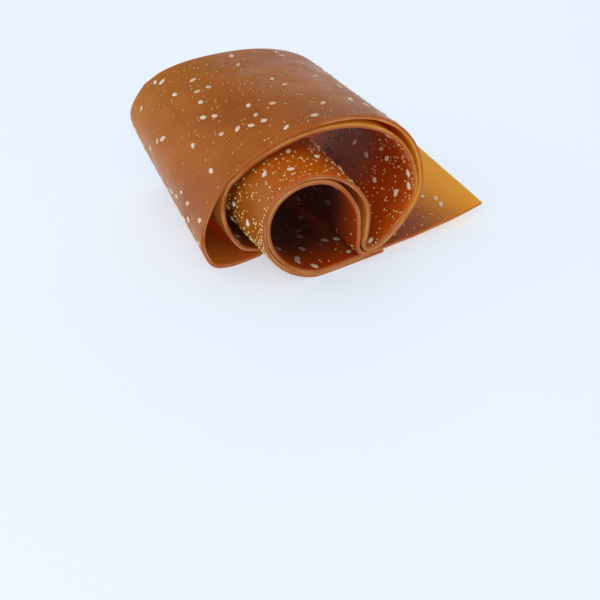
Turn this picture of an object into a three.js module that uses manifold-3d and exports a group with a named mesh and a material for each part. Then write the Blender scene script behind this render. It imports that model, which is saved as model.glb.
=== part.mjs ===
import * as THREE from 'three';
import { mergeVertices } from 'three/addons/utils/BufferGeometryUtils.js';
import Module from 'manifold-3d';

// A long sheet of fruit leather, folded in half and curled twice, lying on its side.
// Sizes are millimetres. Z is up, the curls are seen end on along +Y and the tail points to +X.
const SHEET_WIDTH = 68;
const SHEET_THICKNESS = 1.4;
const PLY_GAP = 0.25;
const PLY_PITCH = SHEET_THICKNESS + PLY_GAP;
const BAND_HALF = SHEET_THICKNESS + PLY_GAP / 2;

// The outside of each curl is an ellipse. The inner curl opens up towards its far end, and the far end
// of the outer curl is squarer and drawn in on its left.
const INNER_CURL_NEAR = { x: 6.3, z: 21.3, long: 24, short: 19.3, tilt: 135, power: 2, sweep: [128, -122] };
const INNER_CURL_FAR = { x: 8.1, z: 23.1, long: 24, short: 21.9, tilt: 135, power: 2, sweep: [128, -122] };
const OUTER_CURL_NEAR = { x: 8.7, z: 17.4, long: 46.2, short: 33.4, tilt: 35, power: 2, sweep: [-34, 104] };
const OUTER_CURL_FAR = { x: 13.2, z: 32, long: 39.6, short: 23.8, tilt: 0, power: 2.3, sweep: [-4, 146] };

// Middle of the doubled band where it leaves the ellipses, as [x, z].
const REST_HEIGHT = BAND_HALF - 0.06;
const TAIL_REST = [[32, REST_HEIGHT], [20, REST_HEIGHT]];
const TAIL_NEAR = [[82, 6.4], [66, 3.6], [48, 2], ...TAIL_REST];
const TAIL_FAR = [[86, 10], [70, 5.6], [52, 2.6], ...TAIL_REST];
const TURN_NEAR = [[25.2, 13], [24.5, 8.7], [25.2, 6.2], [27.7, 5.1], [31.4, 6.1], [39, 11.2], [45.4, 17.4]];
const TURN_FAR = [[27, 14], [25, 8.9], [25.3, 6.2], [27.7, 5.1], [31.2, 6.2], [38.2, 11.8], [44.4, 18.2]];

// Middle of the single sheet where the two plies part, down to the hidden fold and back up.
const PLY_REST = SHEET_THICKNESS / 2 - 0.05;
const FOLD_TIP = [[-5.4, PLY_REST], [-3.6, 2], [-5.4, 3.35]];
const LOOP_NEAR = [
  [-24.7, 28.9], [-28.6, 15.5], [-24.8, 3.8], [-16, PLY_REST],
  ...FOLD_TIP, [-13.2, 7.4], [-19.3, 19.6], [-19.7, 29.5],
];
const LOOP_FAR = [
  [-26.2, 36], [-22.8, 22], [-17.2, 8.6], [-11, PLY_REST],
  ...FOLD_TIP, [-12.2, 6.8], [-20, 20.5], [-24, 34],
];

// The plies part a little along the curls, at a distance before or after the turn back.
const PARTINGS = [
  { curl: 'inner', at: -20, reach: 27, width: 2.8 },
  { curl: 'inner', at: -50, reach: 24, width: 0.6 },
  { curl: 'outer', at: 58, reach: 55, width: 1.9 },
];

// The band is wound a little askew: its near edge runs forward to the turn and then back.
const NEAR_EDGE = -45;
const TURN_LEAD = -3;
const OUTER_DRIFT = 24;
const LOOP_LENGTH = 45;

// Middle of the whole piece seen from above, which becomes the origin.
const MIDDLE_X = 28.265;
const MIDDLE_Y = -2.166;

// Steps between stations of the band, and how many of them the under ply stops short of the tail's tip.
const STATION_STEPS = 4;
const UNDER_PLY_STOP = 11;

// Mesh steps, and the seeds pressed into the seeded face.
const STEP_LENGTH = 6;
const STEP_TURN = 15 * Math.PI / 180;
const WIDTH_STEPS = 3;
const SEED_COUNT = 150;
const SEED_SIZE = [3.1, 1.9, 1];
const SEED_ROOM = 2.2;
const EDGE_MARGIN = 2.2;

const radians = (degrees) => degrees * Math.PI / 180;

const rounded = (value, power) => Math.sign(value) * Math.abs(value) ** (2 / power);

function ellipsePoint(curl, degrees) {
  const a = (curl.long - BAND_HALF) * rounded(Math.cos(radians(degrees)), curl.power);
  const b = (curl.short - BAND_HALF) * rounded(Math.sin(radians(degrees)), curl.power);
  const tilt = radians(curl.tilt);
  const x = curl.x + a * Math.cos(tilt) - b * Math.sin(tilt);
  const z = curl.z + a * Math.sin(tilt) + b * Math.cos(tilt);
  return [x, z];
}

function ellipseArc(curl, steps) {
  const [start, end] = curl.sweep;
  const points = [];
  for (let i = 0; i <= steps; i += 1) {
    points.push(ellipsePoint(curl, start + (end - start) * i / steps));
  }
  return points;
}

function smoothCurve(points) {
  return new THREE.CatmullRomCurve3(points.map((point) => new THREE.Vector3(...point)), false, 'centripetal');
}

const bell = (distance, reach) => (
  Math.abs(distance) < reach ? 0.5 + 0.5 * Math.cos(Math.PI * distance / reach) : 0
);
const smooth = (t) => t * t * (3 - 2 * t);
const clamp01 = (t) => Math.min(1, Math.max(0, t));

// Walks the middle of the doubled band and gives, at every step, its place, left side and near edge.
function bandSteps({ tail, innerCurl, turn, outerCurl }) {
  const inner = ellipseArc(innerCurl, 12);
  const outer = ellipseArc(outerCurl, 10);
  const stations = [...tail, ...inner, ...turn, ...outer];
  const curve = smoothCurve(stations.map(([x, z]) => [x, 0, z]));
  const turnIndex = tail.length + inner.length + 3;
  const count = (stations.length - 1) * STATION_STEPS;
  const steps = [];
  let run = 0;
  let turnRun = 0;
  let previous = null;
  for (let i = 0; i <= count; i += 1) {
    const point = curve.getPoint(i / count);
    const tangent = curve.getTangent(i / count);
    run += previous ? point.distanceTo(previous) : 0;
    previous = point;
    if (i === turnIndex * STATION_STEPS) {
      turnRun = run;
    }
    steps.push({ x: point.x, z: point.z, leftX: -tangent.z, leftZ: tangent.x, run });
  }
  for (const step of steps) {
    const before = clamp01(step.run / turnRun);
    const after = clamp01((step.run - turnRun) / (run + LOOP_LENGTH - turnRun));
    step.nearEdge = NEAR_EDGE + TURN_LEAD * smooth(before) + OUTER_DRIFT * smooth(after);
    step.fromTurn = step.run - turnRun;
  }
  return steps;
}

function parting(curl, fromTurn) {
  let width = 0;
  for (const part of PARTINGS) {
    if (part.curl === curl) {
      width += part.width * bell(fromTurn - part.at, part.reach);
    }
  }
  return width;
}

// The single sheet's middle line: out along the right-hand ply, round the loop, back along the left-hand ply.
function sheetStations({ loop, ...band }) {
  const steps = bandSteps(band);
  const half = PLY_PITCH / 2;
  const outward = steps.map((step) => {
    const shift = half + (step.fromTurn < 0 ? parting('inner', step.fromTurn) : 0);
    return [step.x - step.leftX * shift, step.nearEdge, step.z - step.leftZ * shift];
  });
  const back = steps.slice(UNDER_PLY_STOP).map((step) => {
    const shift = half + (step.fromTurn > 0 ? parting('outer', step.fromTurn) : 0);
    return [step.x + step.leftX * shift, step.nearEdge, step.z + step.leftZ * shift];
  });
  const lastEdge = steps[steps.length - 1].nearEdge;
  const tipEdge = NEAR_EDGE + TURN_LEAD + OUTER_DRIFT;
  const middle = (loop.length - 1) / 2;
  const turning = loop.map(([x, z], i) => {
    const share = 1 - Math.abs(i - middle) / (middle + 1);
    return [x, lastEdge + (tipEdge - lastEdge) * share, z];
  });
  return [...outward, ...turning, ...back.reverse()];
}

const nearCurve = smoothCurve(sheetStations({
  tail: TAIL_NEAR, innerCurl: INNER_CURL_NEAR, turn: TURN_NEAR, outerCurl: OUTER_CURL_NEAR, loop: LOOP_NEAR,
}));
const farCurve = smoothCurve(sheetStations({
  tail: TAIL_FAR, innerCurl: INNER_CURL_FAR, turn: TURN_FAR, outerCurl: OUTER_CURL_FAR, loop: LOOP_FAR,
}));

// A point of the bent sheet: t runs along it, across from 0 at the near edge to 1, lift from its middle.
function bend(t, across, lift) {
  const near = nearCurve.getPoint(t);
  const far = farCurve.getPoint(t);
  const tangent = nearCurve.getTangent(t).lerp(farCurve.getTangent(t), across).setY(0).normalize();
  const right = new THREE.Vector3(tangent.z, 0, -tangent.x);
  const point = near.clone().lerp(far, across);
  point.y = near.y + across * SHEET_WIDTH;
  point.addScaledVector(right, lift);
  return { point, tangent, right };
}

// Steps along the sheet, closer together where it bends more.
function lengthSteps() {
  const fine = 6000;
  const steps = [0];
  let effort = 0;
  let before = nearCurve.getPoint(0);
  let heading = nearCurve.getTangent(0).setY(0).normalize();
  for (let i = 1; i <= fine; i += 1) {
    const place = nearCurve.getPoint(i / fine);
    const now = nearCurve.getTangent(i / fine).setY(0).normalize();
    effort += place.distanceTo(before) / STEP_LENGTH + now.angleTo(heading) / STEP_TURN;
    before = place;
    heading = now;
    if (effort >= 1) {
      steps.push(i / fine);
      effort -= 1;
    }
  }
  steps[steps.length - 1] = 1;
  return steps;
}

function bentSheet() {
  const steps = lengthSteps();
  const flat = new THREE.BoxGeometry(1, 1, SHEET_THICKNESS, steps.length - 1, WIDTH_STEPS, 1);
  flat.deleteAttribute('normal');
  flat.deleteAttribute('uv');
  const sheet = mergeVertices(flat, 1e-5);
  const place = sheet.getAttribute('position');
  for (let i = 0; i < place.count; i += 1) {
    const index = Math.round((place.getX(i) + 0.5) * (steps.length - 1));
    const { point } = bend(steps[index], 0.5 - place.getY(i), place.getZ(i));
    place.setXYZ(i, point.x, point.y, Math.max(0, point.z));
  }
  return sheet;
}

function seededRandom(seed) {
  let state = seed;
  return () => {
    state = (state + 0x6D2B79F5) | 0;
    let t = Math.imul(state ^ (state >>> 15), 1 | state);
    t = (t + Math.imul(t ^ (t >>> 7), 61 | t)) ^ t;
    return ((t ^ (t >>> 14)) >>> 0) / 4294967296;
  };
}

// Places on the seeded face that have room for a seed, each kept as far as it can be from the others.
function seedPlaces() {
  const random = seededRandom(7);
  const line = [];
  const samples = 900;
  let run = 0;
  let previous = nearCurve.getPoint(0);
  for (let i = 0; i <= samples; i += 1) {
    const point = nearCurve.getPoint(i / samples);
    run += point.distanceTo(previous);
    previous = point;
    line.push({ t: i / samples, run });
  }
  const atRun = (wanted) => line.find((sample) => sample.run >= wanted) ?? line[line.length - 1];
  const crossLines = new Map();
  const crossLine = (across) => {
    const key = Math.round(across * 8) / 8;
    if (!crossLines.has(key)) {
      crossLines.set(key, line.map((sample) => ({ run: sample.run, ...bend(sample.t, key, 0) })));
    }
    return crossLines.get(key);
  };
  const hasRoom = (sample, across) => {
    const { point, right } = bend(sample.t, across, SHEET_THICKNESS / 2 + SEED_SIZE[2] / 2);
    if (point.z < SEED_ROOM || right.z < -0.9) {
      return false;
    }
    return crossLine(across).every((other) => (
      Math.abs(other.run - sample.run) < 6
      || Math.hypot(other.point.x - point.x, other.point.z - point.z) > SEED_ROOM
    ));
  };
  const places = [];
  while (places.length < SEED_COUNT) {
    let best = null;
    for (let tries = 0; tries < 8; tries += 1) {
      const sample = atRun(EDGE_MARGIN + random() * (run - 2 * EDGE_MARGIN));
      const margin = EDGE_MARGIN / SHEET_WIDTH;
      const across = margin + random() * (1 - 2 * margin);
      if (!hasRoom(sample, across)) {
        continue;
      }
      const clear = places.reduce((least, place) => (
        Math.min(least, Math.hypot(place.run - sample.run, (place.across - across) * SHEET_WIDTH))
      ), Infinity);
      if (!best || clear > best.clear) {
        best = { ...sample, across, clear, turn: random() * Math.PI };
      }
    }
    if (best) {
      places.push(best);
    }
  }
  return places;
}

function seedAt(place) {
  const { point, tangent, right } = bend(place.t, place.across, SHEET_THICKNESS / 2 + SEED_SIZE[2] * 0.1);
  const seed = new THREE.IcosahedronGeometry(0.5, 0);
  seed.scale(...SEED_SIZE);
  seed.rotateZ(place.turn);
  const sideways = new THREE.Vector3().crossVectors(right, tangent);
  const frame = new THREE.Matrix4().makeBasis(tangent, sideways, right).setPosition(point);
  return seed.applyMatrix4(frame);
}

const wasm = await Module();
wasm.setup();

function toSolid(geometry) {
  const bare = geometry.clone();
  bare.deleteAttribute('normal');
  bare.deleteAttribute('uv');
  const merged = mergeVertices(bare, 1e-4);
  const vertProperties = new Float32Array(merged.getAttribute('position').array);
  const triVerts = new Uint32Array(merged.getIndex().array);
  return new wasm.Manifold(new wasm.Mesh({ numProp: 3, vertProperties, triVerts }));
}

function toGeometry(solid) {
  const mesh = solid.getMesh();
  const geometry = new THREE.BufferGeometry();
  geometry.setAttribute('position', new THREE.BufferAttribute(new Float32Array(mesh.vertProperties), 3));
  geometry.setIndex(new THREE.BufferAttribute(new Uint32Array(mesh.triVerts), 1));
  geometry.computeVertexNormals();
  return geometry;
}

let leather = toSolid(bentSheet());
for (const place of seedPlaces()) {
  leather = leather.add(toSolid(seedAt(place)));
}

const body = toGeometry(leather);
body.translate(-MIDDLE_X, -MIDDLE_Y, 0);

const group = new THREE.Group();
group.name = 'fruit_leather';
const material = new THREE.MeshStandardMaterial({ color: 0x9c4a1c, roughness: 0.55, metalness: 0 });
const leatherMesh = new THREE.Mesh(body, material);
leatherMesh.name = 'leather_sheet';
group.add(leatherMesh);

export default group;
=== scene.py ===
import math

import bmesh
import bpy
import numpy as np
from mathutils import Matrix, Vector, noise


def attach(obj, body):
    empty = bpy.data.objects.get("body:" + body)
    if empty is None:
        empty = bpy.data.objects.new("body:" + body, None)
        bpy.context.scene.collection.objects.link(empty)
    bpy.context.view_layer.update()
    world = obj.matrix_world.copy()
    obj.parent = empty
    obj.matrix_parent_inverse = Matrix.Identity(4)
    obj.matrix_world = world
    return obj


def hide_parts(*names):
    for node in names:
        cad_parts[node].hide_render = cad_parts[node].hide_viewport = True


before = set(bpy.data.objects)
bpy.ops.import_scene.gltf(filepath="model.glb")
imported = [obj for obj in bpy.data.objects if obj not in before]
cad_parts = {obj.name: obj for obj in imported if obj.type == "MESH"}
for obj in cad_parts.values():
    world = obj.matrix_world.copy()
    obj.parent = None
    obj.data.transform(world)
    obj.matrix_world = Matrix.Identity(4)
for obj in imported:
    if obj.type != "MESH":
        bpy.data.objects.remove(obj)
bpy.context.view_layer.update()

bl_info = {
    "name": "Curled Fruit Leather",
    "version": (1, 0, 0),
    "blender": (4, 5, 0),
    "location": "View3D > Sidebar > Fruit Leather",
    "description": "Builds a folded and curled sheet of seeded fruit leather, its seeds and its stage",
    "category": "Add Mesh",
}

NODE = "leather_sheet"
BODY = "root"
MM = 0.001

# Route of the doubled band in millimetres, as [x, z] seen along Y: X to the tail, Z up. The outside of each
# curl is an ellipse, and a height of None means that the band or the single ply rests on the floor there.
TAIL_REST = ((32, None), (20, None))
FOLD_TIP = ((-5.4, None), (-3.6, 2), (-5.4, 3.35))
NEAR = dict(
    tail=((82, 6.4), (66, 3.6), (48, 2)) + TAIL_REST,
    inner=dict(x=6.3, z=21.3, long=24, short=19.3, tilt=135, power=2, sweep=(128, -122)),
    turn=((25.2, 13), (24.5, 8.7), (25.2, 6.2), (27.7, 5.1), (31.4, 6.1), (39, 11.2), (45.4, 17.4)),
    outer=dict(x=8.7, z=17.4, long=46.2, short=33.4, tilt=35, power=2, sweep=(-34, 104)),
    loop=((-24.7, 28.9), (-28.6, 15.5), (-24.8, 3.8), (-16, None)) + FOLD_TIP
    + ((-13.2, 7.4), (-19.3, 19.6), (-19.7, 29.5)))
FAR = dict(
    tail=((86, 10), (70, 5.6), (52, 2.6)) + TAIL_REST,
    inner=dict(x=8.1, z=23.1, long=24, short=21.9, tilt=135, power=2, sweep=(128, -122)),
    turn=((27, 14), (25, 8.9), (25.3, 6.2), (27.7, 5.1), (31.2, 6.2), (38.2, 11.8), (44.4, 18.2)),
    outer=dict(x=13.2, z=32, long=39.6, short=23.8, tilt=0, power=2.3, sweep=(-4, 146)),
    loop=((-26.2, 36), (-22.8, 22), (-17.2, 8.6), (-11, None)) + FOLD_TIP
    + ((-12.2, 6.8), (-20, 20.5), (-24, 34)))

# Where the plies stand apart: the curl, the run past the turn, the reach along the sheet and the width.
PARTINGS = (("inner", -20, 27, 2.8), ("inner", -50, 24, 0.6), ("outer", 58, 55, 1.9))

# Steps along each curl and between stations, the place of the turn's lowest station, and the steps by which
# the under ply stops short of the tail's tip.
INNER_STEPS = 12
OUTER_STEPS = 10
STATION_STEPS = 4
TURN_STATION = 3
UNDER_PLY_STOP = 11

# The near edge along Y: where it starts at the tail, how far it leads up to the turn, and how far it drifts
# back along the outer curl and the loop, which counts with its usual length.
NEAR_EDGE = -45
TURN_LEAD = -3
OUTER_DRIFT = 24
LOOP_LENGTH = 45

# Middle of the finished roll on the floor, how deep the resting band and ply are pressed flat, and the number
# of places at which the route is measured.
MIDDLE = np.array((28.265, -2.166, 0))
BAND_PRESS = 0.06
PLY_PRESS = 0.05
ROUTE_SAMPLES = 6001

# Mesh of the sheet: a column's usual length and turn, the rounding of the cut edges, what counts as their
# rim, and the lift above which a point belongs to the seeded face.
COLUMN_LENGTH = 3.2
COLUMN_TURN = math.radians(7)
EDGE_ROUNDING = 0.22
RIM_WIDTH = 0.15
SEEDED_FROM = -0.3

# Unevenness of the sheet, as shares of its thickness and of its width.
UNEVEN_THICKNESS = 0.07
EDGE_WANDER = 0.005

# Slant of the edge of the painted light through the tail: millimetres across for each one along, counted from
# a place along the tail.
TAIL_SLANT = 2.8
TAIL_ORIGIN = 8

# Strength of the tints that are weaker than full.
# Painted light through the sheet on the back of the outer face, in the gap between the plies and in the
# pocket.
BACK_GLOW = 0.15
GAP_GLOW = 0.9
POCKET_GLOW = 0.5
# Painted shade: how much the pale plain face is dulled inside the pocket.
POCKET_SHADE = 0.5
# How much the painted light through the sheet is weakened on the cut edges.
RIM_DULLING = 0.7
# Painted shadow of the inner curl on the tail next to the roll: how much painted shade and how much redder
# inside colour it takes.
CURL_SHADOW_DARKENING = 0.3
CURL_SHADOW_RED = 0.4
# Painted glow near the edges inside the outer curl.
EDGE_GLOW = 0.8
# Painted shade on the seeds, where the sheet below them is painted shaded.
SEED_SHADING = 0.93

# Placing of the seeds: tries for each seed, the usual chance of a try, how high over the face room is looked
# for, how far along its own ply counts as itself, the lines along the sheet that are searched and the points
# of each, and how far down a face that takes seeds may look.
TRIES = 14
USUAL_CHANCE = 0.55
ROOM_HEIGHT = 0.5
OWN_PLY = 6
SEARCH_LINES = 9
SEARCH_POINTS = 900
STEEPEST_DOWN = -0.9

# How far fruit covers a seed, and what that does: a seed's middle lies lower and the seed is flatter, in
# shares of its own thickness, and fruit veils it. Each seed also leans at random, in radians.
SUNK_OUTSIDE = 0.55
SUNK_INSIDE = 0.12
SEED_RISE = 0.22
SEED_DROP = 0.42
SEED_FLATTENING = 0.5
SEED_LEAN = 0.22
VEIL = (0.05, 0.6)
SMALL_SEED_VEIL = 0.4

FLOOR_REACH = 20
LAMP_TARGET = (0, 0, 0.02)

SPECK_COLOUR = (0.05, 0.012, 0.006, 1)
# Colour of the painted shade on the seeds.
SEED_SHADE_COLOUR = (0.05, 0.018, 0.014, 1)
WARM_WHITE = (1, 0.99, 0.97)
COOL_WHITE = (0.95, 0.98, 1)

# Places of the colour sockets of a Mix node.
MIX_FIRST, MIX_SECOND, MIX_RESULT = 6, 7, 2


def colour_setting(name, description, default):
    """A colour with alpha that the panel shows."""
    return bpy.props.FloatVectorProperty(
        name=name, description=description, subtype="COLOR", size=4, default=default + (1,))


class SheetSettings(bpy.types.PropertyGroup):
    """Sizes and colours of the sheet."""

    width: bpy.props.FloatProperty(
        name="Width", description="Width of the sheet, along the roll", default=0.068, unit="LENGTH")
    thickness: bpy.props.FloatProperty(
        name="Thickness", description="Thickness of one ply", default=0.0014, unit="LENGTH")
    ply_gap: bpy.props.FloatProperty(
        name="Ply gap", description="Gap between the folded plies", default=0.00025, unit="LENGTH")
    waviness: bpy.props.FloatProperty(
        name="Waviness", description="Height of the soft waves in the sheet", default=0.00012, unit="LENGTH")
    columns: bpy.props.IntProperty(
        name="Columns", description="Mesh columns along the sheet", default=520)
    rows: bpy.props.IntProperty(
        name="Rows", description="Mesh rows across the sheet", default=44)
    deep_colour: colour_setting(
        "Deep colour", "Darker fruit colour", (0.36, 0.088, 0.003))
    light_colour: colour_setting(
        "Light colour", "Lighter fruit colour", (0.46, 0.13, 0.006))
    # This colour is painted light passing through the thin sheet: on the tail, the back of the outer face,
    # the gap between the plies and the pocket.
    golden_colour: colour_setting(
        "Golden colour", "Colour where the tail lets light through", (0.95, 0.50, 0.03))
    pale_colour: colour_setting(
        "Pale colour", "Colour of the face without seeds", (0.74, 0.34, 0.07))
    # This colour is painted light: the glow of light passing through the sheet on the inner curl's crest and
    # near the edges inside the outer curl.
    crest_glow_colour: colour_setting(
        "Crest colour", "Glowing fruit colour on top of the inner curl", (0.66, 0.13, 0.002))
    # This colour is painted light: the redder fruit inside the curls stands in for light reddened by passing
    # through and bouncing between the plies.
    inside_red_light_colour: colour_setting(
        "Inside colour", "Redder fruit colour inside the curls", (0.52, 0.058, 0.002))
    plum_colour: colour_setting(
        "Plum colour", "Colour of the dull patch inside the outer curl", (0.42, 0.16, 0.11))
    # This colour is painted shade: near black, laid deep inside the inner curl where little light reaches.
    shade_colour: colour_setting(
        "Shade colour", "Colour of the moist fruit inside the inner curl", (0.05, 0.004, 0.0008))
    rim_colour: colour_setting(
        "Rim colour", "Colour of the cut edges", (0.38, 0.09, 0.003))
    # This colour is a painted highlight on the rounded corners of the cut edges.
    highlight_colour: colour_setting(
        "Line colour", "Colour of the dry corners of the cut edges", (0.88, 0.56, 0.30))


class SeedSettings(bpy.types.PropertyGroup):
    """Sizes, numbers and colours of the seeds."""

    sesame_share: bpy.props.FloatProperty(
        name="Sesame share", description="Share of the usual number of sesame seeds", default=1.0)
    sesame_length: bpy.props.FloatProperty(
        name="Sesame length", description="Length of a sesame seed", default=0.0031, unit="LENGTH")
    sesame_colour: colour_setting(
        "Sesame colour", "Colour of the hulled sesame", (1.0, 0.80, 0.62))
    golden_share: bpy.props.FloatProperty(
        name="Golden share", description="Share of the usual number of tiny golden seeds", default=1.0)
    golden_size: bpy.props.FloatProperty(
        name="Golden seed size", description="Diameter of a tiny seed", default=0.0009, unit="LENGTH")
    golden_colour: colour_setting(
        "Golden colour", "Colour of the tiny seeds", (0.98, 0.72, 0.36))


class StageSettings(bpy.types.PropertyGroup):
    """Camera, light and floor."""

    lens: bpy.props.FloatProperty(
        name="Lens", description="Focal length of the camera in millimetres", default=52.2)
    camera_place: bpy.props.FloatVectorProperty(
        name="Camera place", description="Where the camera stands", subtype="TRANSLATION", unit="LENGTH",
        default=(-0.15332, -0.259307, 0.18643))
    camera_target: bpy.props.FloatVectorProperty(
        name="Camera target", description="Point the camera looks at", subtype="TRANSLATION", unit="LENGTH",
        default=(-0.01936, -0.027277, -0.02289))
    floor_colour: colour_setting(
        "Floor colour", "Colour of the pale floor", (0.54, 0.60, 0.67))
    floor_glow: colour_setting(
        "Floor glow", "Light of the backlit floor", (0.44, 0.48, 0.53))
    sky_colour: colour_setting(
        "Sky colour", "Colour of the soft light all round", (0.95, 0.98, 1.0))
    backdrop_colour: colour_setting(
        "Backdrop colour", "Colour seen behind the floor", (0.70, 0.76, 0.83))
    sky_strength: bpy.props.FloatProperty(
        name="Sky strength", description="Strength of the soft light all round", default=0.42)
    key_power: bpy.props.FloatProperty(
        name="Key power", description="Power of the main soft box", default=6.0, unit="POWER")
    back_power: bpy.props.FloatProperty(
        name="Back power", description="Power of each low soft box behind the roll", unit="POWER",
        default=1.3)
    front_power: bpy.props.FloatProperty(
        name="Front power", description="Power of the soft box above the camera", default=3.2, unit="POWER")


class SmoothLine:
    """Centripetal Catmull-Rom line through points, read at shares from 0 to 1 of its stations."""

    def __init__(self, points):
        p = np.array(points, float)
        p = np.vstack((2 * p[0] - p[1], p, 2 * p[-1] - p[-2]))
        d = np.sqrt(np.linalg.norm(np.diff(p, axis=0), axis=1))[:, None]
        p0, p1, p2, p3 = p[:-3], p[1:-2], p[2:-1], p[3:]
        d0, d1, d2 = d[:-2], d[1:-1], d[2:]
        start = ((p1 - p0) / d0 - (p2 - p0) / (d0 + d1) + (p2 - p1) / d1) * d1
        end = ((p2 - p1) / d1 - (p3 - p1) / (d1 + d2) + (p3 - p2) / d2) * d1
        self.terms = (p1, start, 3 * (p2 - p1) - 2 * start - end, 2 * (p1 - p2) + start + end)
        self.spans = len(p1)

    def read(self, share):
        """Places and unit headings at the given shares."""
        u = np.clip(np.asarray(share, float), 0, 1) * self.spans
        i = np.minimum(u.astype(int), self.spans - 1)
        w = (u - i)[..., None]
        a, b, c, d = (term[i] for term in self.terms)
        place = a + w * (b + w * (c + w * d))
        heading = b + w * (2 * c + 3 * w * d)
        return place, heading / np.linalg.norm(heading, axis=-1, keepdims=True)


def ramp(value, low, high):
    """Smooth step from 0 at low to 1 at high, for numbers and arrays."""
    t = np.clip((value - low) / (high - low), 0, 1)
    return t * t * (3 - 2 * t)


def between(value, start, full, fade, end):
    """Smooth plateau: 0 up to start, 1 from full to fade and 0 again from end."""
    return ramp(value, start, full) * (1 - ramp(value, fade, end))


def bell(distance, reach):
    """Soft hump of height 1 and half-width reach."""
    return 0.5 + 0.5 * math.cos(math.pi * distance / reach) if abs(distance) < reach else 0.0


def parting(curl, run):
    """How much farther the ply of a curl stands off the band's middle at a run past the turn."""
    return sum(wide * bell(run - at, reach) for name, at, reach, wide in PARTINGS if name == curl)


def runs_along(places):
    """Lengths along a line of places, from its start to each of them."""
    return np.concatenate(((0,), np.cumsum(np.linalg.norm(np.diff(places, axis=0), axis=1))))


def squared_up(value, power):
    """A cosine or sine for an ellipse of a power: 2 is a true ellipse, and more is squarer."""
    return np.sign(value) * np.abs(value) ** (2 / power)


def ellipse_arc(curl, band_half, steps):
    """Points along the middle of the band where a curl's outside is an ellipse."""
    start, end = curl["sweep"]
    tilt = math.radians(curl["tilt"])
    angles = np.radians(np.linspace(start, end, steps + 1))
    a = (curl["long"] - band_half) * squared_up(np.cos(angles), curl["power"])
    b = (curl["short"] - band_half) * squared_up(np.sin(angles), curl["power"])
    x = curl["x"] + a * math.cos(tilt) - b * math.sin(tilt)
    z = curl["z"] + a * math.sin(tilt) + b * math.cos(tilt)
    return list(zip(x, z))


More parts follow.
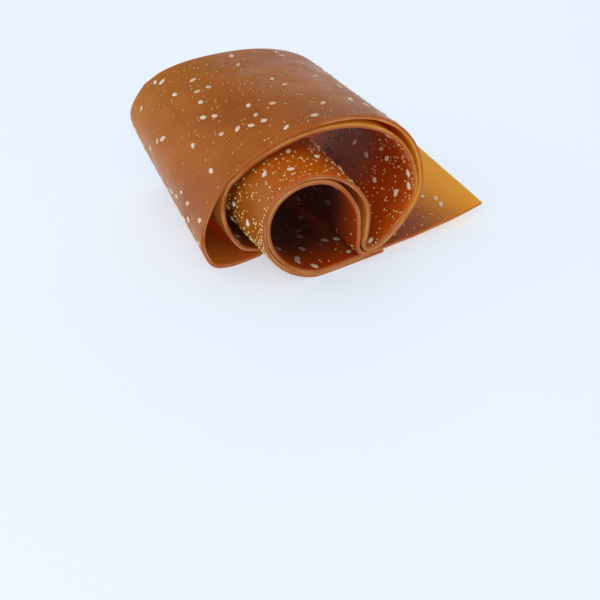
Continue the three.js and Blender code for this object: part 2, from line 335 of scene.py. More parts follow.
class Sheet:
    """The folded and curled sheet: gives the place of any point of the flat sheet, in millimetres."""

    def __init__(self, settings):
        self.width = settings.width / MM
        self.thickness = settings.thickness / MM
        self.pitch = self.thickness + settings.ply_gap / MM
        self.band_half = self.pitch - settings.ply_gap / MM / 2
        self.near = SmoothLine(self.stations(**NEAR))
        self.far = SmoothLine(self.stations(**FAR))
        self.shares = np.linspace(0, 1, ROUTE_SAMPLES)
        places, headings = self.near.read(self.shares)
        self.runs = runs_along(places)
        self.length = self.runs[-1]
        flat = headings * (1, 0, 1)
        flat /= np.linalg.norm(flat, axis=1, keepdims=True)
        self.turning = np.arccos(np.clip((flat[1:] * flat[:-1]).sum(1), -1, 1))
        band_steps = (self.near.spans + 1 - self.loop_stations + UNDER_PLY_STOP) // 2
        self.turn_out = self.run_at(self.turn_step)
        self.loop_start = self.run_at(band_steps - 1)
        self.loop_end = self.run_at(band_steps + self.loop_stations)
        self.turn_home = self.run_at(2 * band_steps + self.loop_stations - 1 - self.turn_step)

    def run_at(self, station):
        """Length along the near edge to one of its stations."""
        return float(np.interp(station / self.near.spans, self.shares, self.runs))

    def band(self, tail, inner, turn, outer):
        """Steps of the doubled band along one edge: middle, left side and run past the turn."""
        rest = self.band_half - BAND_PRESS
        tail = [(x, rest if z is None else z) for x, z in tail]
        inner = ellipse_arc(inner, self.band_half, INNER_STEPS)
        outer = ellipse_arc(outer, self.band_half, OUTER_STEPS)
        stations = tail + inner + list(turn) + outer
        self.turn_step = (len(tail) + len(inner) + TURN_STATION) * STATION_STEPS
        count = (len(stations) - 1) * STATION_STEPS
        places, headings = SmoothLine([(x, 0, z) for x, z in stations]).read(np.linspace(0, 1, count + 1))
        runs = runs_along(places)
        turn_run = runs[self.turn_step]
        steps = []
        for place, heading, run in zip(places, headings, runs):
            edge = NEAR_EDGE + TURN_LEAD * ramp(run, 0, turn_run)
            edge += OUTER_DRIFT * ramp(run, turn_run, runs[-1] + LOOP_LENGTH)
            left = np.array((-heading[2], 0, heading[0]))
            steps.append((np.array((place[0], edge, place[2])), left, run - turn_run))
        return steps

    def stations(self, loop, **band):
        """Middle of the single ply along one edge: out in the band, round the outer loop and home again."""
        steps = self.band(**band)
        half = self.pitch / 2
        out = [p - left * (half + (parting("inner", run) if run < 0 else 0)) for p, left, run in steps]
        home = [p + left * (half + (parting("outer", run) if run > 0 else 0)) for p, left, run in steps]
        ply_rest = self.thickness / 2 - PLY_PRESS
        loop = [(x, ply_rest if z is None else z) for x, z in loop]
        self.loop_stations = len(loop)
        last_edge = steps[-1][0][1]
        tip_edge = NEAR_EDGE + TURN_LEAD + OUTER_DRIFT
        middle = (len(loop) - 1) / 2
        turning = []
        for i, (x, z) in enumerate(loop):
            share = 1 - abs(i - middle) / (middle + 1)
            turning.append((x, last_edge + (tip_edge - last_edge) * share, z))
        return out + turning + home[UNDER_PLY_STOP:][::-1]

    def bend(self, run, across, lift):
        """Places, headings and seeded-side normals for runs along, shares across and lifts off the middle."""
        share = np.interp(run, self.runs, self.shares)
        near, near_heading = self.near.read(share)
        far, far_heading = self.far.read(share)
        across = np.asarray(across, float)[..., None]
        heading = (near_heading * (1 - across) + far_heading * across) * (1, 0, 1)
        heading /= np.linalg.norm(heading, axis=-1, keepdims=True)
        right = np.stack((heading[..., 2], 0 * heading[..., 1], -heading[..., 0]), axis=-1)
        place = near * (1 - across) + far * across
        place[..., 1] = near[..., 1] + across[..., 0] * self.width
        place = place + right * np.asarray(lift, float)[..., None]
        return place, heading, right

    def tints(self, run, side, seeded):
        """Shares of the sheet's colours at places of its seeded or its plain face.

        Each colour's zone is in millimetres: along the sheet from its tip, the turn out, the loop or the turn
        home, and across it from the near edge.
        """
        out, loop, home = run - self.turn_out, run - self.loop_start, run - self.turn_home
        edge = np.minimum(side, self.width - side)
        # Painted light that passes through the thin sheet: on the tail's far side and tip, on the back of the
        # outer face, in the gap between the plies and in the pocket.
        tail = ramp(side - TAIL_SLANT * (run - TAIL_ORIGIN), -58, 36)
        back = BACK_GLOW * ramp(side, 36, 66) * ramp(out, 70, 115) * (1 - ramp(loop, 0, 50))
        pocket = between(run, self.loop_start - 4, self.loop_start + 12, self.loop_end - 6, self.loop_end + 8)
        gap = GAP_GLOW * np.maximum(between(out, 12, 26, 60, 85), between(-home, 12, 26, 60, 85))
        gap = np.maximum(gap, POCKET_GLOW * pocket * ramp(side, 14, 34))
        # Painted shadow of the inner curl on the tail next to the roll.
        curl_shadow = between(run, 18, 42, 48, 66)
        inner = between(run, 48, 66, self.turn_out - 8, self.turn_out)
        outer = between(run, self.loop_end + 8, self.loop_end + 30, self.turn_home - 12, self.turn_home)
        # Painted glow where light passes through the sheet: near the edges inside the outer curl and on the
        # inner curl's crest.
        glow = outer * (1 - ramp(edge, 1, 9))
        crest = between(home, -5, 12, 48, 72)
        plum = between(home, -75, -50, -20, -8) * between(side, 20, 38, 54, 66)
        return {
            # Painted light through the sheet, on both faces.
            "golden": np.where(seeded, np.maximum(tail, back), np.maximum(tail, gap)),
            "plum": seeded * plum,
            # Painted shade deep inside the inner curl, fading towards both edges, and the curl's painted
            # shadow on the tail.
            "shade": seeded * np.maximum(inner * ramp(edge, -4, 20), CURL_SHADOW_DARKENING * curl_shadow),
            # Painted glow on the crest and near the edges inside the outer curl.
            "crest": seeded * np.maximum(crest, EDGE_GLOW * glow),
            # Painted reddened light inside both curls and in the curl's painted shadow on the tail.
            "inside": seeded * np.maximum(np.maximum(inner, outer), CURL_SHADOW_RED * curl_shadow),
            # The pale plain face, dulled with painted shade inside the pocket.
            "plain": np.where(seeded, 0, 1 - POCKET_SHADE * pocket)}

    def columns(self, count):
        """Runs along the sheet for mesh columns, closer together where it bends more."""
        effort = np.diff(self.runs) / COLUMN_LENGTH + self.turning / COLUMN_TURN
        effort = np.concatenate(((0,), np.cumsum(effort)))
        return np.interp(np.linspace(0, effort[-1], count + 1), effort, self.runs)


def settings_of(context):
    """Settings of the sheet, the seeds and the stage."""
    scene = context.scene
    return scene.fruit_leather_sheet, scene.fruit_leather_seeds, scene.fruit_leather_stage


def add_node(tree, kind, inputs=None, **options):
    """A shader node with its options and unlinked inputs set."""
    made = tree.nodes.new(kind)
    for name, value in options.items():
        setattr(made, name, value)
    for name, value in (inputs or {}).items():
        made.inputs[name].default_value = value
    return made


def link(tree, source, target):
    """Joins an output to an input."""
    tree.links.new(source, target)


def mottle_group():
    """Soft blotches with a set contrast, shared by the sheet and the seeds."""
    group = bpy.data.node_groups.get("soft_mottle")
    if group:
        return group
    group = bpy.data.node_groups.new("soft_mottle", "ShaderNodeTree")
    group.interface.new_socket("Vector", in_out="INPUT", socket_type="NodeSocketVector")
    for name, default in (("Scale", 10), ("Detail", 3), ("Low", 0.35), ("High", 0.65)):
        socket = group.interface.new_socket(name, in_out="INPUT", socket_type="NodeSocketFloat")
        socket.default_value = default
    group.interface.new_socket("Mask", in_out="OUTPUT", socket_type="NodeSocketFloat")
    source = add_node(group, "NodeGroupInput")
    target = add_node(group, "NodeGroupOutput")
    clouds = add_node(group, "ShaderNodeTexNoise")
    spread = add_node(group, "ShaderNodeMapRange", interpolation_type="SMOOTHSTEP")
    for name in ("Vector", "Scale", "Detail"):
        link(group, source.outputs[name], clouds.inputs[name])
    link(group, clouds.outputs["Fac"], spread.inputs["Value"])
    link(group, source.outputs["Low"], spread.inputs["From Min"])
    link(group, source.outputs["High"], spread.inputs["From Max"])
    link(group, spread.outputs["Result"], target.inputs["Mask"])
    return group


def mottle(tree, vector, scale, detail, low, high):
    """Mask of soft blotches, 0 below the low and 1 above the high level of their noise."""
    inputs = {"Scale": scale, "Detail": detail, "Low": low, "High": high}
    made = add_node(tree, "ShaderNodeGroup", inputs, node_tree=mottle_group())
    link(tree, vector, made.inputs["Vector"])
    return made.outputs["Mask"]


def mix_colour(tree, share, first, second):
    """Mix of two colours, each a socket or a plain colour."""
    made = add_node(tree, "ShaderNodeMix", data_type="RGBA")
    sockets = (made.inputs["Factor"], made.inputs[MIX_FIRST], made.inputs[MIX_SECOND])
    for value, socket in zip((share, first, second), sockets):
        if isinstance(value, bpy.types.NodeSocket):
            link(tree, value, socket)
        else:
            socket.default_value = value
    return made.outputs[MIX_RESULT]


def times(tree, value, factor):
    """A value times a factor, which is a socket or a plain number."""
    made = add_node(tree, "ShaderNodeMath", operation="MULTIPLY")
    link(tree, value, made.inputs[0])
    if isinstance(factor, bpy.types.NodeSocket):
        link(tree, factor, made.inputs[1])
    else:
        made.inputs[1].default_value = factor
    return made.outputs[0]


def attribute(tree, name):
    """One of the float attributes that the piece's vertices carry."""
    return add_node(tree, "ShaderNodeAttribute", attribute_name=name).outputs["Fac"]


def dots(tree, vector, scale, reach, share):
    """Scattered round dots: their reach in cells and the share of cells that has one."""
    cells = add_node(tree, "ShaderNodeTexVoronoi", {"Scale": scale}, feature="F1")
    link(tree, vector, cells.inputs["Vector"])
    fade = {"From Min": 0.3 * reach, "From Max": reach, "To Min": 1, "To Max": 0}
    spot = add_node(tree, "ShaderNodeMapRange", fade)
    link(tree, cells.outputs["Distance"], spot.inputs["Value"])
    draw = add_node(tree, "ShaderNodeSeparateColor")
    link(tree, cells.outputs["Color"], draw.inputs["Color"])
    picked = add_node(tree, "ShaderNodeMath", operation="LESS_THAN")
    picked.inputs[1].default_value = share
    link(tree, draw.outputs["Red"], picked.inputs[0])
    return times(tree, spot.outputs["Result"], picked.outputs[0])


def new_material(name):
    """A material, its node tree and its shader."""
    material = bpy.data.materials.new(name)
    material.use_nodes = True
    tree = material.node_tree
    return material, tree, tree.nodes["Principled BSDF"]


def leather_colour(tree, flat, sheet):
    """Mottled fruit with dark specks under the sheet's tints, its fine mottling and the mask of its painted
    shade.
    """
    broad = mottle(tree, flat, scale=4, detail=3, low=0.3, high=0.7)
    fine = mottle(tree, flat, scale=42, detail=4, low=0.3, high=0.75)
    specks = dots(tree, flat, scale=55, reach=0.16, share=0.1)
    streaks = mottle(tree, flat, scale=7, detail=3, low=0.35, high=0.65)
    colour = mix_colour(tree, broad, tuple(sheet.deep_colour), tuple(sheet.light_colour))
    colour = mix_colour(tree, times(tree, fine, 0.15), colour, tuple(sheet.light_colour))
    colour = mix_colour(tree, times(tree, specks, 0.8), colour, SPECK_COLOUR)
    # Tints laid over the fruit: painted reddened light inside the curls, painted glow on the crest, the pale
    # plain face, the plum patch, painted shade, the cut edges, painted highlights on their corners and
    # painted light through the sheet.
    tints = (
        ("inside", 0.9, sheet.inside_red_light_colour), ("crest", 0.85, sheet.crest_glow_colour),
        ("plain", 0.85, sheet.pale_colour), ("plum", 0.95, sheet.plum_colour),
        ("shade", 0.95, sheet.shade_colour), ("rim", 0.85, sheet.rim_colour),
        ("highlight_corner", 0.6, sheet.highlight_colour), ("golden", 0.9, sheet.golden_colour))
    masks = {name: times(tree, attribute(tree, name), share) for name, share, _ in tints}
    masks["highlight_corner"] = times(tree, masks["highlight_corner"], streaks)
    for name, _, tint in tints:
        colour = mix_colour(tree, masks[name], colour, tuple(tint))
    return colour, fine, masks["shade"]


def leather_material(sheet):
    """Translucent, satin fruit leather with mottling, dark specks, painted highlights on the corners of its
    cut edges and the painted light and shade of its tints.
    """
    material, tree, shader = new_material("fruit_leather")
    flat = add_node(tree, "ShaderNodeUVMap", uv_map="flat_sheet").outputs["UV"]
    colour, fine, shade = leather_colour(tree, flat, sheet)
    link(tree, colour, shader.inputs["Base Color"])
    haze = mottle(tree, flat, scale=9, detail=4, low=0.3, high=0.7)
    satin = add_node(tree, "ShaderNodeMapRange", {"To Min": 0.3, "To Max": 0.52})
    link(tree, haze, satin.inputs["Value"])
    rough = add_node(tree, "ShaderNodeMapRange", {"To Max": 0.85})
    link(tree, shade, rough.inputs["Value"])
    link(tree, satin.outputs["Result"], rough.inputs["To Min"])
    link(tree, rough.outputs["Result"], shader.inputs["Roughness"])
    grain = add_node(tree, "ShaderNodeTexNoise", {"Scale": 160, "Detail": 3})
    link(tree, flat, grain.inputs["Vector"])
    relief = add_node(tree, "ShaderNodeMath", operation="ADD")
    link(tree, times(tree, fine, 1.6), relief.inputs[0])
    link(tree, times(tree, grain.outputs["Fac"], 0.5), relief.inputs[1])
    bump = add_node(tree, "ShaderNodeBump", {"Strength": 0.06, "Distance": 0.0004})
    link(tree, relief.outputs[0], bump.inputs["Height"])
    link(tree, bump.outputs["Normal"], shader.inputs["Normal"])
    shader.inputs["Subsurface Weight"].default_value = 1.0
    shader.inputs["Subsurface Radius"].default_value = (1.5, 0.7, 0.1)
    shader.inputs["Subsurface Scale"].default_value = 0.002
    shader.inputs["IOR"].default_value = 1.45
    shader.inputs["Specular IOR Level"].default_value = 0.3
    return material


def seed_material(name, colour, fruit_colour, darkening):
    """Seed skin whose tone varies from seed to seed, veiled by fruit where the seed is sunk in, and darkened
    with painted shade inside the curls.
    """
    material, tree, shader = new_material(name)
    place = add_node(tree, "ShaderNodeTexCoord").outputs["Object"]
    dark = tuple(part * share for part, share in zip(colour[:3], darkening)) + (1,)
    blotch = mottle(tree, place, scale=900, detail=2, low=0.4, high=0.75)
    skin = mix_colour(tree, attribute(tree, "tone"), tuple(colour), dark)
    skin = mix_colour(tree, times(tree, blotch, 0.25), skin, dark)
    skin = mix_colour(tree, attribute(tree, "veil"), skin, tuple(fruit_colour))
    skin = mix_colour(tree, attribute(tree, "seed_shade"), skin, SEED_SHADE_COLOUR)
    link(tree, skin, shader.inputs["Base Color"])
    rough = add_node(tree, "ShaderNodeMapRange", {"To Min": 0.4, "To Max": 0.6})
    link(tree, blotch, rough.inputs["Value"])
    link(tree, rough.outputs["Result"], shader.inputs["Roughness"])
    shader.inputs["Specular IOR Level"].default_value = 0.25
    shader.inputs["Subsurface Weight"].default_value = 0.35
    shader.inputs["Subsurface Radius"].default_value = (1.0, 0.6, 0.3)
    shader.inputs["Subsurface Scale"].default_value = 0.0006
    return material


def finish_piece(context, bm, name, material, replaces=None):
    """Turns a bmesh into a smooth piece that rides on the body."""
    mesh = bpy.data.meshes.new(name)
    bm.to_mesh(mesh)
    bm.free()
    mesh.shade_smooth()
    mesh.materials.append(material)
    piece = bpy.data.objects.new(name, mesh)
    context.scene.collection.objects.link(piece)
    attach(piece, BODY)
    if replaces:
        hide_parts(replaces)


def set_layers(bm, masks):
    """Writes each mask as a float attribute of the vertices."""
    for name, mask in masks.items():
        layer = bm.verts.layers.float.new(name)
        for v, value in zip(bm.verts, mask):
            v[layer] = value


def place_verts(bm, places):
    """Moves the vertices to places in metres."""
    for v, place in zip(bm.verts, places):
        v.co = place


def in_frame(places):
    """Millimetres on the route to metres in the part's frame, pressed flat where the sheet rests."""
    moved = np.asarray(places) - MIDDLE
    moved[..., 2] = np.maximum(moved[..., 2], 0)
    return moved * MM


def wave(run, side, length, width, layer):
    """Smooth noise over the flat sheet, from -1 to 1, in waves of a length and a width in millimetres."""
    return noise.noise(Vector((run / length, side / width, layer)))


def flat_sheet(sheet, columns, rows):
    """The flat sheet as a closed bmesh in millimetres: x along it, y across it and z up from its middle."""
    bm = bmesh.new()
    bmesh.ops.create_grid(bm, x_segments=columns, y_segments=rows, size=0.5)
    if len(bm.verts) != (columns + 1) * (rows + 1):
        raise RuntimeError("the grid does not have the asked number of columns and rows")
    runs = sheet.columns(columns)
    low = min(v.co.x for v in bm.verts)
    span = max(v.co.x for v in bm.verts) - low
    for v in bm.verts:
        run = runs[round((v.co.x - low) / span * columns)]
        v.co = (run, (v.co.y - low) / span * sheet.width, -sheet.thickness / 2)
    bmesh.ops.solidify(bm, geom=bm.faces[:], thickness=sheet.thickness)
    bmesh.ops.remove_doubles(bm, verts=bm.verts[:], dist=1e-4)
    middle = sum(v.co.z for v in bm.verts) / len(bm.verts)
    for v in bm.verts:
        v.co.z -= middle
    bmesh.ops.recalc_face_normals(bm, faces=bm.faces[:])
    return bm


def round_cut_edges(bm):
    """Rounds the long corners of the cut edges."""
    corners = [e for e in bm.edges if len(e.link_faces) == 2 and e.calc_face_angle() > 1]
    bmesh.ops.bevel(
        bm, geom=corners, offset=EDGE_ROUNDING, segments=2, profile=0.5, affect="EDGES", material=-1)


def keep_flat_places(bm):
    """Keeps the places on the flat sheet, in tenths of a metre, as the UV map that its finish follows."""
    uv = bm.loops.layers.uv.new("flat_sheet")
    for face in bm.faces:
        for loop in face.loops:
            loop[uv].uv = (loop.vert.co.x / 100, loop.vert.co.y / 100)


def sheet_masks(sheet, flat):
    """Shares of the sheet's tints at points of the flat sheet, its cut edges and the painted highlights on
    their corners.
    """
    run, side, lift = flat.T
    masks = sheet.tints(run, side, lift > SEEDED_FROM)
    edge = np.minimum(np.minimum(side, sheet.width - side), np.minimum(run, sheet.length - run))
    masks["rim"] = 1.0 * (edge < RIM_WIDTH)
    masks["golden"] *= 1 - RIM_DULLING * masks["rim"]
    # Painted highlight: strongest on the corner of the plain face, then on the rest of that half, then on the
    # seeded face's corner.
    highlight_corner = np.abs(lift) > sheet.thickness / 2 - RIM_WIDTH
    masks["highlight_corner"] = masks["rim"] * np.where(lift < 0, np.where(highlight_corner, 1, 0.6), 0.4 * highlight_corner)
    return masks


def uneven(sheet, flat, wave_height):
    """Shares across and lifts of points of the flat sheet, with soft waves and wandering edges."""
    across = flat[:, 1] / sheet.width
    lifts = flat[:, 2].copy()
    for i, (run, side, _) in enumerate(flat):
        swell = wave(run, side, 26, 22, 3.1)
        ripple = wave(run, side, 7, 6, 8.7)
        lifts[i] *= 1 + UNEVEN_THICKNESS * wave(run, side, 18, 14, 5.5)
        lifts[i] += wave_height * (0.7 * swell + 0.3 * ripple)
        # The far and the near edge wander apart from each other.
        edge_layer = 2.3 if side > 30 else 9.4
        across[i] += EDGE_WANDER * wave(run, edge_layer, 17, 1, 0.5)
    return across, lifts


class LEATHER_OT_curl_sheet(bpy.types.Operator):
    """Makes the flat sheet, rounds its cut edges and bends it along the folded and curled route"""

    bl_idname = "fruit_leather.curl_sheet"
    bl_label = "Curl the sheet"

    def execute(self, context):
        settings = settings_of(context)[0]
        sheet = Sheet(settings)
        bm = flat_sheet(sheet, settings.columns, settings.rows)
        round_cut_edges(bm)
        keep_flat_places(bm)
        flat = np.array([v.co[:] for v in bm.verts])
        set_layers(bm, sheet_masks(sheet, flat))
        across, lifts = uneven(sheet, flat, settings.waviness / MM)
        places, _, _ = sheet.bend(flat[:, 0], across, lifts)
        place_verts(bm, in_frame(places))
        bmesh.ops.recalc_face_normals(bm, faces=bm.faces[:])
        finish_piece(context, bm, "curled_sheet", leather_material(settings), NODE)
        return {"FINISHED"}


class SeedBed:
    """Finds places on the seeded face that have room for a seed."""

    def __init__(self, sheet, seed):
        self.sheet = sheet
        self.random = np.random.default_rng(seed)
        self.line_runs = np.linspace(0, sheet.length, SEARCH_POINTS)
        middle = np.zeros(SEARCH_POINTS)
        shares = np.linspace(0, 1, SEARCH_LINES)
        self.lines = [sheet.bend(self.line_runs, middle + share, middle)[0] for share in shares]
        self.taken = {}

    def has_room(self, run, across, room):
        """Which of the places have nothing of the sheet within room above them."""
        lift = self.sheet.thickness / 2 + ROOM_HEIGHT
        place, _, right = self.sheet.bend(run, across, np.full(len(run), lift))
        free = (place[:, 2] > room) & (right[:, 2] > STEEPEST_DOWN)
        nearest = np.round(across * (SEARCH_LINES - 1))
        for k, line in enumerate(self.lines):
            of_line = np.flatnonzero(free & (nearest == k))
            apart = line[None, :, :] - place[of_line, None, :]
            away = np.hypot(apart[..., 0], apart[..., 2])
            along = np.abs(self.line_runs[None, :] - run[of_line, None])
            free[of_line] = np.all((away > room) | (along < OWN_PLY), axis=1)
        return free

    def stands_apart(self, run, side, apart):
        """True, and the place taken, if no seed lies within apart of it."""
        cell = (int(run // apart), int(side // apart))
        for i in (-1, 0, 1):
            for j in (-1, 0, 1):
                for r, s in self.taken.get((cell[0] + i, cell[1] + j), ()):
                    if math.hypot(r - run, s - side) < apart:
                        return False
        self.taken.setdefault(cell, []).append((run, side))
        return True

    def draw(self, zones, share, margin, room, apart, patchy):
        """Draws places, more or less patchy and apart from each other, in zones along the sheet.

        A zone is its start, its end, its seeds per square centimetre and its lean: over 1 to the near edge.
        """
        width = self.sheet.width
        places = []
        for start, end, per_cm2, lean in zones:
            wanted = round((end - start) * width / 100 * per_cm2 * share)
            run = self.random.uniform(start, end, TRIES * wanted)
            side = margin + (width - 2 * margin) * self.random.random(TRIES * wanted) ** lean
            chance = self.random.random(TRIES * wanted)
            found = 0
            for i in np.flatnonzero(self.has_room(run, side / width, room)):
                patch = USUAL_CHANCE + patchy * wave(run[i], side[i], 17, 17, 1.7)
                if found < wanted and chance[i] < patch and self.stands_apart(run[i], side[i], apart):
                    places.append((run[i], side[i] / width))
                    found += 1
        if not places:
            raise RuntimeError("no room for the seeds")
        return places

    def sunk(self, run):
        """How far fruit covers a seed: more on the outside of the roll than inside the curls."""
        return SUNK_OUTSIDE if self.sheet.turn_out < run < self.sheet.loop_end else SUNK_INSIDE


def seed_bmesh(bed, places, size, detail, shape, spread, small, dimming):
    """One seed per place, turned at random and pressed into the seeded face, smaller where it is sunk."""
    one = bmesh.new()
    bmesh.ops.create_icosphere(one, subdivisions=detail, radius=0.5)
    pattern = np.array([shape(v.co) for v in one.verts]) * size
    copy = bpy.data.meshes.new("seed_pattern")
    one.to_mesh(copy)
    one.free()
    bm = bmesh.new()
    corners, tones, veils = [], [], []
    for run, across in places:
        bm.from_mesh(copy)
        sunk = bed.sunk(run)
        scale = bed.random.uniform(*spread) * (1 - small * sunk)
        lift = bed.sheet.thickness / 2 + size[2] * scale * (SEED_RISE - SEED_DROP * sunk)
        place, heading, right = bed.sheet.bend(run, across, lift)
        up = right * (1 - SEED_FLATTENING * sunk)
        axes = np.stack((heading, np.cross(right, heading), up), axis=1)
        lean = Matrix.Rotation(bed.random.uniform(-SEED_LEAN, SEED_LEAN), 3, "Y")
        turn = Matrix.Rotation(bed.random.uniform(0, 2 * math.pi), 3, "Z")
        corners.append(in_frame(place + (pattern * scale) @ (axes @ np.array(turn @ lean)).T))
        tones.append(bed.random.random())
        veils.append(sunk * bed.random.uniform(*VEIL) + small * sunk * SMALL_SEED_VEIL)
    bpy.data.meshes.remove(copy)
    runs, sides = np.array(places).T * ((1,), (bed.sheet.width,))
    tints = bed.sheet.tints(runs, sides, True)
    # Painted shade on the seeds: inside the inner curl, in the curl's shadow on the tail and, for the tiny
    # seeds, in the plum patch.
    dims = SEED_SHADING * np.max([tints[name] for name in dimming], axis=0)
    by_seed = {"tone": tones, "veil": veils, "seed_shade": dims}
    set_layers(bm, {name: np.repeat(shares, len(pattern)) for name, shares in by_seed.items()})
    place_verts(bm, np.concatenate(corners))
    return bm


def teardrop(co):
    """Round at one end and drawn to a blunt point at the other."""
    x, y, z = co
    point = max(0, x * 2)
    return x + 0.04 * point, y * (1 - 0.35 * point ** 1.5), z * (1 - 0.2 * point)


def ball(co):
    """Left round."""
    return tuple(co)


class LEATHER_OT_press_sesame(bpy.types.Operator):
    """Scatters hulled sesame seeds over the seeded face and presses them in"""

    bl_idname = "fruit_leather.press_sesame"
    bl_label = "Press in sesame"

    def execute(self, context):
        sheet_settings, seeds, _ = settings_of(context)
        sheet = Sheet(sheet_settings)
        bed = SeedBed(sheet, seed=7)
        zones = (
            (2, 60, 0.6, 1.0),
            (60, sheet.turn_out, 0.4, 1.0),
            (sheet.turn_out, sheet.loop_start, 0.65, 1.0),
            (sheet.loop_start, sheet.loop_end, 0.8, 1.0),
            (sheet.loop_end, sheet.turn_home, 0.42, 1.8),
            (sheet.turn_home, sheet.length - 2, 0.5, 1.0))
        places = bed.draw(zones, seeds.sesame_share, margin=1.6, room=2.0, apart=3.0, patchy=0.15)
        size = seeds.sesame_length / MM * np.array((1, 0.62, 0.34))
        bm = seed_bmesh(bed, places, size, 2, teardrop, spread=(0.82, 1.1), small=0.05, dimming=("shade",))
        material = seed_material(
            "sesame_skin", seeds.sesame_colour, sheet_settings.deep_colour, darkening=(0.92, 0.84, 0.72))
        finish_piece(context, bm, "sesame_seeds", material)
        return {"FINISHED"}


class LEATHER_OT_press_golden(bpy.types.Operator):
    """Scatters tiny golden seeds over the seeded face and presses them in"""

    bl_idname = "fruit_leather.press_golden"
    bl_label = "Press in tiny seeds"

    def execute(self, context):
        sheet_settings, seeds, _ = settings_of(context)
        sheet = Sheet(sheet_settings)
        bed = SeedBed(sheet, seed=29)
        zones = (
            (1, 60, 3, 1.0),
            (60, sheet.turn_out, 2, 1.0),
            (sheet.turn_out, sheet.loop_start, 6, 1.0),
            (sheet.loop_start, sheet.loop_end, 2, 1.0),
            (sheet.loop_end, sheet.turn_home, 3, 2.2),
            (sheet.turn_home, sheet.length - 1, 6, 1.2),
            (sheet.turn_home + 68, sheet.turn_home + 100, 6, 2.5),
            (sheet.turn_home - 60, sheet.turn_home - 8, 6, 0.5))
        places = bed.draw(zones, seeds.golden_share, margin=0.6, room=1.3, apart=0.8, patchy=0.55)
        size = seeds.golden_size / MM * np.array((1.15, 0.85, 0.7))
        bm = seed_bmesh(bed, places, size, 1, ball, spread=(0.6, 1.2), small=0.4, dimming=("shade", "plum"))
        material = seed_material(
            "golden_skin", seeds.golden_colour, sheet_settings.deep_colour, darkening=(0.9, 0.75, 0.5))
        finish_piece(context, bm, "golden_seeds", material)
        return {"FINISHED"}


def aim(obj, place, target):
    """Puts a lamp or camera at a place and turns it to a target."""
    obj.location = place
    obj.rotation_euler = (Vector(target) - Vector(place)).to_track_quat("-Z", "Y").to_euler()


def soft_box(scene, name, place, size, power, colour):
    """A square soft box that faces the roll."""
    light = bpy.data.lights.new(name, "AREA")
    light.shape = "SQUARE"
    light.size = size
    light.energy = power
    light.color = colour
    lamp = bpy.data.objects.new(name, light)
    scene.collection.objects.link(lamp)
    aim(lamp, place, LAMP_TARGET)


def lay_floor(scene, stage):
    """A wide pale floor that glows a little, as if lit from below."""
    bm = bmesh.new()
    bmesh.ops.create_grid(bm, x_segments=8, y_segments=8, size=FLOOR_REACH)
    mesh = bpy.data.meshes.new("floor")
    bm.to_mesh(mesh)
    bm.free()
    material, _, shader = new_material("floor_paint")
    shader.inputs["Base Color"].default_value = tuple(stage.floor_colour)
    shader.inputs["Roughness"].default_value = 0.7
    shader.inputs["Emission Color"].default_value = tuple(stage.floor_glow)
    shader.inputs["Emission Strength"].default_value = 1.0
    mesh.materials.append(material)
    floor = bpy.data.objects.new("floor", mesh)
    scene.collection.objects.link(floor)


def fill_room(scene, stage):
    """Soft light all round, with a plain backdrop where the camera sees past the floor."""
    world = bpy.data.worlds.new("soft_room")
    world.use_nodes = True
    tree = world.node_tree
    sky = tree.nodes["Background"]
    sky.inputs["Color"].default_value = tuple(stage.sky_colour)
    sky.inputs["Strength"].default_value = stage.sky_strength
    backdrop = add_node(tree, "ShaderNodeBackground", {"Color": tuple(stage.backdrop_colour)})
    seen = add_node(tree, "ShaderNodeMixShader")
    link(tree, add_node(tree, "ShaderNodeLightPath").outputs["Is Camera Ray"], seen.inputs["Fac"])
    link(tree, sky.outputs["Background"], seen.inputs[1])
    link(tree, backdrop.outputs["Background"], seen.inputs[2])
    link(tree, seen.outputs["Shader"], tree.nodes["World Output"].inputs["Surface"])
    scene.world = world


def set_camera(scene, stage):
    """The camera, above and to the left of the roll's near end."""
    camera = bpy.data.cameras.new("camera")
    camera.lens = stage.lens
    camera.sensor_width = 36
    camera.clip_start = 0.01
    viewer = bpy.data.objects.new("camera", camera)
    scene.collection.objects.link(viewer)
    aim(viewer, stage.camera_place, stage.camera_target)
    scene.camera = viewer


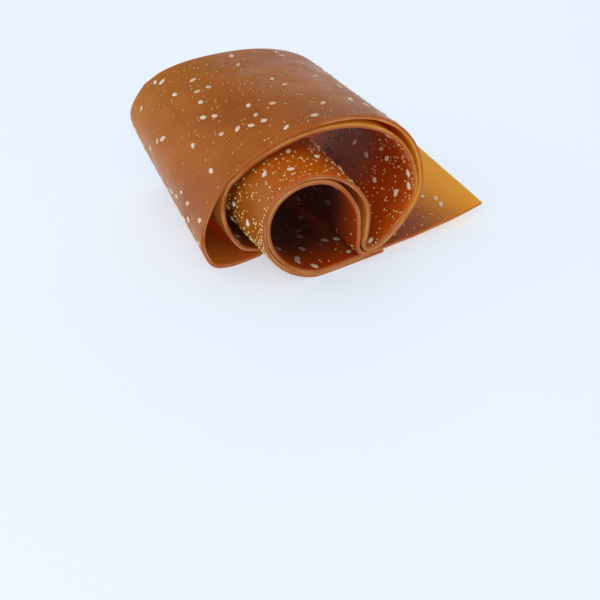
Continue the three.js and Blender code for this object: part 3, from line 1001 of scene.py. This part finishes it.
class LEATHER_OT_set_stage(bpy.types.Operator):
    """Lays the pale floor, sets the soft light and the camera"""

    bl_idname = "fruit_leather.set_stage"
    bl_label = "Set the stage"

    def execute(self, context):
        stage = settings_of(context)[2]
        scene = context.scene
        lay_floor(scene, stage)
        fill_room(scene, stage)
        soft_box(scene, "key_box", (-1.1, -0.1, 0.95), 1.6, stage.key_power, WARM_WHITE)
        soft_box(scene, "front_box", (-0.35, -0.9, 0.75), 0.9, stage.front_power, WARM_WHITE)
        soft_box(scene, "back_left_box", (-0.8, 0.75, 0.3), 0.8, stage.back_power, COOL_WHITE)
        soft_box(scene, "back_right_box", (0.6, 0.8, 0.3), 0.8, stage.back_power, COOL_WHITE)
        set_camera(scene, stage)
        scene.view_settings.view_transform = "Standard"
        return {"FINISHED"}


OPERATORS = (
    LEATHER_OT_curl_sheet,
    LEATHER_OT_press_sesame,
    LEATHER_OT_press_golden,
    LEATHER_OT_set_stage,
)


class LEATHER_PT_panel(bpy.types.Panel):
    """Lists the steps that make the curled fruit leather"""

    bl_idname = "LEATHER_PT_panel"
    bl_label = "Fruit Leather"
    bl_space_type = "VIEW_3D"
    bl_region_type = "UI"
    bl_category = "Fruit Leather"

    def draw(self, context):
        for settings in settings_of(context):
            box = self.layout.box()
            for name in settings.__annotations__:
                box.prop(settings, name)
        for operator in OPERATORS:
            self.layout.operator(operator.bl_idname)


GROUPS = (
    ("fruit_leather_sheet", SheetSettings),
    ("fruit_leather_seeds", SeedSettings),
    ("fruit_leather_stage", StageSettings),
)


def register():
    for name, group in GROUPS:
        bpy.utils.register_class(group)
        setattr(bpy.types.Scene, name, bpy.props.PointerProperty(type=group))
    for operator in OPERATORS:
        bpy.utils.register_class(operator)
    bpy.utils.register_class(LEATHER_PT_panel)


def unregister():
    bpy.utils.unregister_class(LEATHER_PT_panel)
    for operator in reversed(OPERATORS):
        bpy.utils.unregister_class(operator)
    for name, group in reversed(GROUPS):
        delattr(bpy.types.Scene, name)
        bpy.utils.unregister_class(group)


def main():
    register()
    bpy.ops.fruit_leather.curl_sheet()
    bpy.ops.fruit_leather.press_sesame()
    bpy.ops.fruit_leather.press_golden()
    bpy.ops.fruit_leather.set_stage()


if __name__ == "__main__":
    main()
